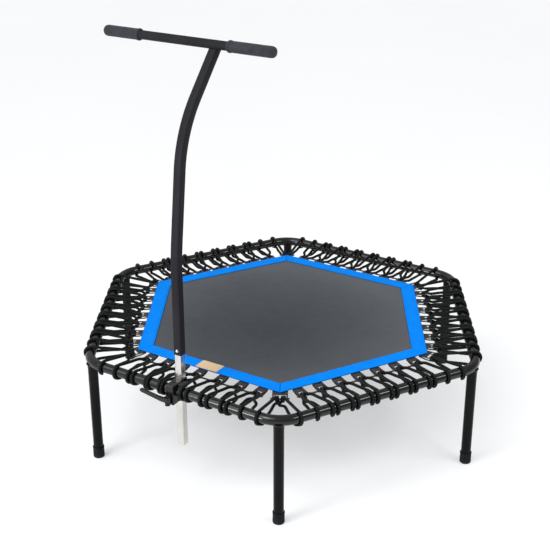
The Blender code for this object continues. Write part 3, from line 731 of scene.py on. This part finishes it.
def tab(build, place, wire_d, inner_d, flap_end, leg):
    """Webbing flap with two legs looped round the edge wire, one on each side of the cord."""
    inner_edge, outer_edge = leg
    turn_r = WIRE_R + 0.0010
    over = WIRE_Z + WIRE_R + 0.0010
    loop = [(flap_end - 0.002, over), (wire_d, over)]
    loop += [(wire_d + turn_r * math.sin(a), WIRE_Z + turn_r * math.cos(a))
             for a in (math.pi * i / 8 for i in range(1, 8))]
    loop += [(wire_d, WIRE_Z - turn_r), (flap_end - 0.004, WIRE_Z - turn_r + 0.001),
             (inner_d, STRAP_TOP - 0.0035)]
    flap = [(inner_d, STRAP_TOP - 0.0011), (flap_end - 0.006, over + 0.0002), (flap_end, over)]
    ribbon(build, place, flap, -outer_edge, outer_edge)
    ribbon(build, place, loop, -outer_edge, -inner_edge)
    ribbon(build, place, loop, inner_edge, outer_edge)


def wire_bow(t):
    """How far a corner's bar curves in, at a distance from its middle."""
    return WIRE_BEND_R - math.sqrt(WIRE_BEND_R ** 2 - t * t)


def add_tabs():
    corner_wire = corner_distance(WIRE_APOTHEM, WIRE_BEND_R)
    bend_centre = corner_wire - WIRE_BEND_R
    mat_corner = MAT_APOTHEM / math.cos(HALF_TURN)
    for side in range(SIDES):
        build = Build()
        for middle, _ in anchors_on(side):
            def place(t, d, z, middle=middle):
                return on_side(side, middle + t, d, z)
            tab(build, place, WIRE_APOTHEM, MAT_APOTHEM - 0.006, FLAP_END, LEG)

        def corner_place(t, d, z):
            follow = max(0.0, min(1.0, (d - bend_centre - 0.06) / 0.02))
            return at_corner(side, t, d - wire_bow(t) * follow, z)

        tab(build, corner_place, corner_wire, mat_corner - 0.018, mat_corner + CORNER_FLAP_PAST_MAT,
            CORNER_LEG)
        build.piece(f"webbing_tabs_{side + 1}", WEBBING, "mat", [f"tab_strip_{side + 1}"])

        wire = Build()
        sweep(wire, [on_side(side, -WIRE_HALF, WIRE_APOTHEM, WIRE_Z),
                     on_side(side, WIRE_HALF, WIRE_APOTHEM, WIRE_Z)], circle(WIRE_R, 12))
        sweep(wire, [corner_place(CORNER_WIRE_HALF * t / 4, corner_wire, WIRE_Z) for t in range(-4, 5)],
              circle(WIRE_R, 12))
        wire.piece(f"rim_wire_{side + 1}", PAINT, "mat", [f"edge_wire_{side + 1}"])


def half_ring(place, wire_d, wrap_left, wrap_right, hook, shoulder, crotch, reach, crossing):
    """From the left wrap's underside in to the wire, round it and out to the right wrap's top."""
    first, last = hook
    radius = WIRE_R + KNOT_THIN * CORD_R
    low = WIRE_Z - crossing
    splay = place(-crotch, wire_d + reach, low - 0.006)
    points = [wrap_left(-97), wrap_left(-92).lerp(splay, 0.33), wrap_left(-92).lerp(splay, 0.67), splay,
              place(-crotch * 0.45, wire_d + 0.0035 + reach * 0.5, low - 0.0055),
              place(first * 0.6, wire_d + 0.0080, low - 0.0050)]
    steps = 7 if first == last else 19
    for step in range(steps + 1):
        turn = math.radians(-20 + 30 * step)
        s = first + (last - first) * step / steps
        points.append(place(s, wire_d - radius * math.sin(turn), WIRE_Z - radius * math.cos(turn)))
    points += [place(last * 0.7 + shoulder * 0.3, wire_d + 0.0090, WIRE_Z + 0.0075),
               place(shoulder, wire_d + 0.0170, WIRE_Z + 0.0085)]
    points += [points[-1].lerp(wrap_right(103), t) for t in (0.33, 0.67)]
    return points + [wrap_right(angle) for angle in (103, 80, 57, 34, 11, -12, -35, -60, -80)]


def tube_wrap(side, s_top, slant):
    """Upright round the tube's outside, then slanting along its underside."""
    radius = TUBE_R + CORD_R - 0.0002

    def at(angle):
        s = s_top + slant * max(0.0, (-60 - angle) / 39)
        turn = math.radians(angle)
        return on_side(side, s, FRAME_APOTHEM + radius * math.cos(turn), FRAME_Z + radius * math.sin(turn))
    return at


def cord_ring(build, place, wire_d, left, right, hook, shoulder, crotch, reach):
    """One elastic ring: it hooks round the wire, crosses itself under the tab and wraps the tube twice."""
    def mirrored(t, d, z):
        return place(-t, d, z)

    points = half_ring(place, wire_d, left, right, hook, shoulder, crotch, reach, UPPER_CROSSING)
    points += half_ring(mirrored, wire_d, right, left, hook, shoulder, crotch, reach, LOWER_CROSSING)
    path = closed_spline(points)
    middle = place(0, wire_d, WIRE_Z)
    relaxed = [max(0.0, min(1.0, ((p - middle).length - hook[1] - 0.004) / 0.010)) for p in path]
    sweep(build, path, circle(CORD_R, 12), closed=True,
          scales=[KNOT_THIN + (1 - KNOT_THIN) * share for share in relaxed])


def add_cords():
    corner_wire = corner_distance(WIRE_APOTHEM, WIRE_BEND_R)
    for side in range(SIDES):
        build = Build()
        for middle, spread in anchors_on(side):
            def place(t, d, z, middle=middle):
                return on_side(side, middle + t, d, z)
            left = tube_wrap(side, middle - spread, WRAP_SLANT)
            right = tube_wrap(side, middle + spread, WRAP_SLANT)
            cord_ring(build, place, WIRE_APOTHEM, left, right, HOOK, 0.0145, 0.0135, 0.0230)
        obj = build.piece(f"elastic_rings_{side + 1}", CORD, None)
        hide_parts(f"bungee_cord_{side + 1}")
        on_side(side, 0, WIRE_APOTHEM + 0.008, FRAME_Z)
        on_side(side, 0, FRAME_APOTHEM - TUBE_R - 0.004, FRAME_Z)
        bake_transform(obj)

        def corner_place(t, d, z):
            return at_corner(side, t, d - wire_bow(t), z)

        corner = Build()
        left = tube_wrap(side, CORNER_WRAP_S, CORNER_WRAP_SLANT)
        right = tube_wrap(side + 1, -CORNER_WRAP_S, -CORNER_WRAP_SLANT)
        cord_ring(corner, corner_place, corner_wire, left, right, CORNER_HOOK, 0.0170, 0.0125, 0.0135)
        obj = corner.piece(f"corner_ring_{side + 1}", CORD, None)
        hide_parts(f"bungee_cord_{side + 1}")
        at_corner(side, 0, corner_wire + 0.008, FRAME_Z)
        at_corner(side, 0, LEG_RADIUS - 0.045, FRAME_Z)
        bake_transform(obj)


# ---------------------------------------------------------------- handle

POST_WIDTH, POST_BOTTOM, POST_CORNER_R = 0.0232, 0.409, 0.0026
POST_BENDS = ((0.231, 0.0), (0.085, 7.0), (0.190, 0.0), (0.190, 34.0), (0.146, 0.0))
BAR_CENTRE = Vector((HANDLE_X, -0.3225, 1.2025))
BAR_R, BAR_LEFT, BAR_RIGHT = 0.012, 0.354, 0.183
GRIP_LEFT, GRIP_RIGHT = 0.120, 0.140


def post_line():
    y, z, angle = STEM_Y, POST_BOTTOM, 0.0
    points = [Vector((HANDLE_X, y, z))]
    for length, turn in POST_BENDS:
        turn = math.radians(turn)
        steps = 24 if turn else 6
        for step in range(steps):
            middle = angle + turn * (step + 0.5) / steps
            y += length / steps * math.sin(middle)
            z += length / steps * math.cos(middle)
            points.append(Vector((HANDLE_X, y, z)))
        angle += turn
    return points


def add_handle():
    line = post_line()
    along = (line[-1] - line[-2]).normalized()
    section = rounded_square(POST_WIDTH, POST_CORNER_R)
    post = Build()
    lip = [line[0], line[0] + Vector((0, 0, 0.0008)), line[0] + Vector((0, 0, 0.0022))]
    sweep(post, lip + line[1:], section, first_normal=Vector((0, -1, 0)),
          scales=[0.965, 0.993] + [1.0] * len(line))
    top = BAR_CENTRE.z - BAR_R + 0.003
    count = len(section)
    ends = range(len(post.points) - count, len(post.points))
    for i in ends:
        point = Vector(post.points[i])
        post.points[i] = tuple(point + along * (top - point.z) / along.z)
    post.piece("bent_post", SATIN, "handle", ["handle_post"])

    bead = Build()
    ring = []
    for i in ends:
        x, y, _ = post.points[i]
        out = Vector((x - HANDLE_X, y - BAR_CENTRE.y, 0)) * 0.05
        lift = math.sqrt(max(BAR_R ** 2 - (y - BAR_CENTRE.y) ** 2, 0.0))
        ring.append(Vector((x, y, min(BAR_CENTRE.z - lift, BAR_CENTRE.z - 0.002))) + out)
    sweep(bead, closed_spline(ring, 0.002), circle(0.0014, 8), closed=True)
    bead.piece("bar_weld", SATIN, "handle")

    bar = Build()
    left = BAR_CENTRE - Vector((BAR_LEFT - 0.006, 0, 0))
    right = BAR_CENTRE + Vector((BAR_RIGHT - 0.006, 0, 0))
    sweep(bar, [left.lerp(right, i / 10) for i in range(11)], circle(BAR_R, 32))
    bar.piece("cross_bar", SATIN, "handle", ["handlebar"])

    for name, x, outward, length in (("grip_left", HANDLE_X - BAR_LEFT, -1, GRIP_LEFT),
                                     ("grip_right", HANDLE_X + BAR_RIGHT, 1, GRIP_RIGHT)):
        grip = Build()
        place = Matrix.Translation((x, *BAR_CENTRE.yz)) @ Matrix.Rotation(math.radians(90) * outward, 4, "Y")
        profile = [(0.0010, 0.0), (0.0045, -0.0002), (0.0082, -0.0010), (0.0112, -0.0028), (0.0133, -0.0054),
                   (0.0145, -0.0086), (0.0150, -0.0125), (0.0149, -0.040), (0.0150, -0.075),
                   (0.0149, 0.020 - length), (0.0148, 0.0100 - length), (0.0151, 0.0088 - length),
                   (0.0160, 0.0078 - length), (0.0162, 0.0060 - length), (0.0161, 0.0035 - length),
                   (0.0154, 0.0016 - length), (0.0140, 0.0004 - length), (0.0126, -length),
                   (0.0118, 0.001 - length)]
        lathe(grip, profile, place, 48)
        grip.piece(f"foam_{name}", FOAM, "handle", [name])


def paint_cad_nodes():
    """Looks of the CAD pieces whose shape is kept."""
    looks = {"handle_stem": STEEL, "post_screw": ZINC, "clamp_bolt": SATIN, "cam_pin": SATIN,
             "stem_screw": ZINC, "clamp_saddle": PAINT, "clamp_jaw": PAINT, "clamp_lever": PAINT}
    for node, material in looks.items():
        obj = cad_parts[node]
        for slot in obj.material_slots:
            slot.material = material


# ---------------------------------------------------------------- floor and light

def add_floor():
    m = Shader("studio_floor", (0.60, 0.60, 0.60), 0.7, Specular_IOR_Level=0.05,
               Emission_Color=(0.97, 0.985, 1.0, 1.0), Emission_Strength=0.41)
    m.color(m.mix(m.range(m.noise(0.8, 3), 0.3, 0.7), (0.56, 0.565, 0.57), (0.58, 0.582, 0.585)))
    mesh = bpy.data.meshes.new("floor")
    reach = 25
    mesh.from_pydata([(-reach, -reach, 0), (reach, -reach, 0), (reach, reach, 0), (-reach, reach, 0)],
                     [], [(0, 1, 2, 3)])
    mesh.materials.append(m.material)
    obj = bpy.data.objects.new("floor", mesh)
    obj.location.z = -0.0004
    bpy.context.scene.collection.objects.link(obj)


def area_light(name, place, aim, size, power):
    light = bpy.data.lights.new(name, "AREA")
    light.shape = "RECTANGLE"
    light.size, light.size_y = size
    light.energy = power
    obj = bpy.data.objects.new(name, light)
    obj.location = place
    obj.rotation_euler = (Vector(aim) - Vector(place)).to_track_quat("-Z", "Y").to_euler()
    bpy.context.scene.collection.objects.link(obj)


def add_world():
    """Pale studio, brighter towards the front left than towards the back right."""
    world = bpy.data.worlds.new("studio")
    world.use_nodes = True
    tree = world.node_tree
    direction = tree.nodes.new("ShaderNodeTexCoord")
    dot = tree.nodes.new("ShaderNodeVectorMath")
    dot.operation = "DOT_PRODUCT"
    dot.inputs[1].default_value = Vector((-0.62, -0.50, 0.60)).normalized()
    strength = tree.nodes.new("ShaderNodeMapRange")
    for i, value in enumerate((0.0, -0.6, 0.9, 0.35, 0.75)):
        strength.inputs[i].default_value = value
    background = tree.nodes["Background"]
    background.inputs["Color"].default_value = (1.0, 1.0, 1.0, 1)
    tree.links.new(direction.outputs["Generated"], dot.inputs[0])
    tree.links.new(dot.outputs["Value"], strength.inputs[0])
    tree.links.new(strength.outputs[0], background.inputs["Strength"])
    bpy.context.scene.world = world


def add_light():
    sun = bpy.data.lights.new("soft_sun", "SUN")
    sun.energy = 1.38
    sun.angle = math.radians(50)
    obj = bpy.data.objects.new("soft_sun", sun)
    obj.rotation_euler = (math.radians(36), math.radians(-22), 0)
    bpy.context.scene.collection.objects.link(obj)
    area_light("right_panel", (2.30, -0.10, 2.20), (0.3, -0.2, 0.3), (1.5, 0.5), 28)
    area_light("front_panel", (-0.36, -2.10, 2.75), (0, -0.4, 0.3), (0.7, 0.6), 16)
    area_light("low_left_panel", (-1.30, -3.60, 1.10), (0, -0.4, 0.7), (0.9, 0.9), 50)
    bpy.context.scene.view_settings.view_transform = "Standard"


add_frame()
add_mat()
for strip in range(SIDES):
    border_strip(strip)
add_label()
add_tabs()
add_cords()
add_handle()
paint_cad_nodes()
add_floor()
add_world()
add_light()
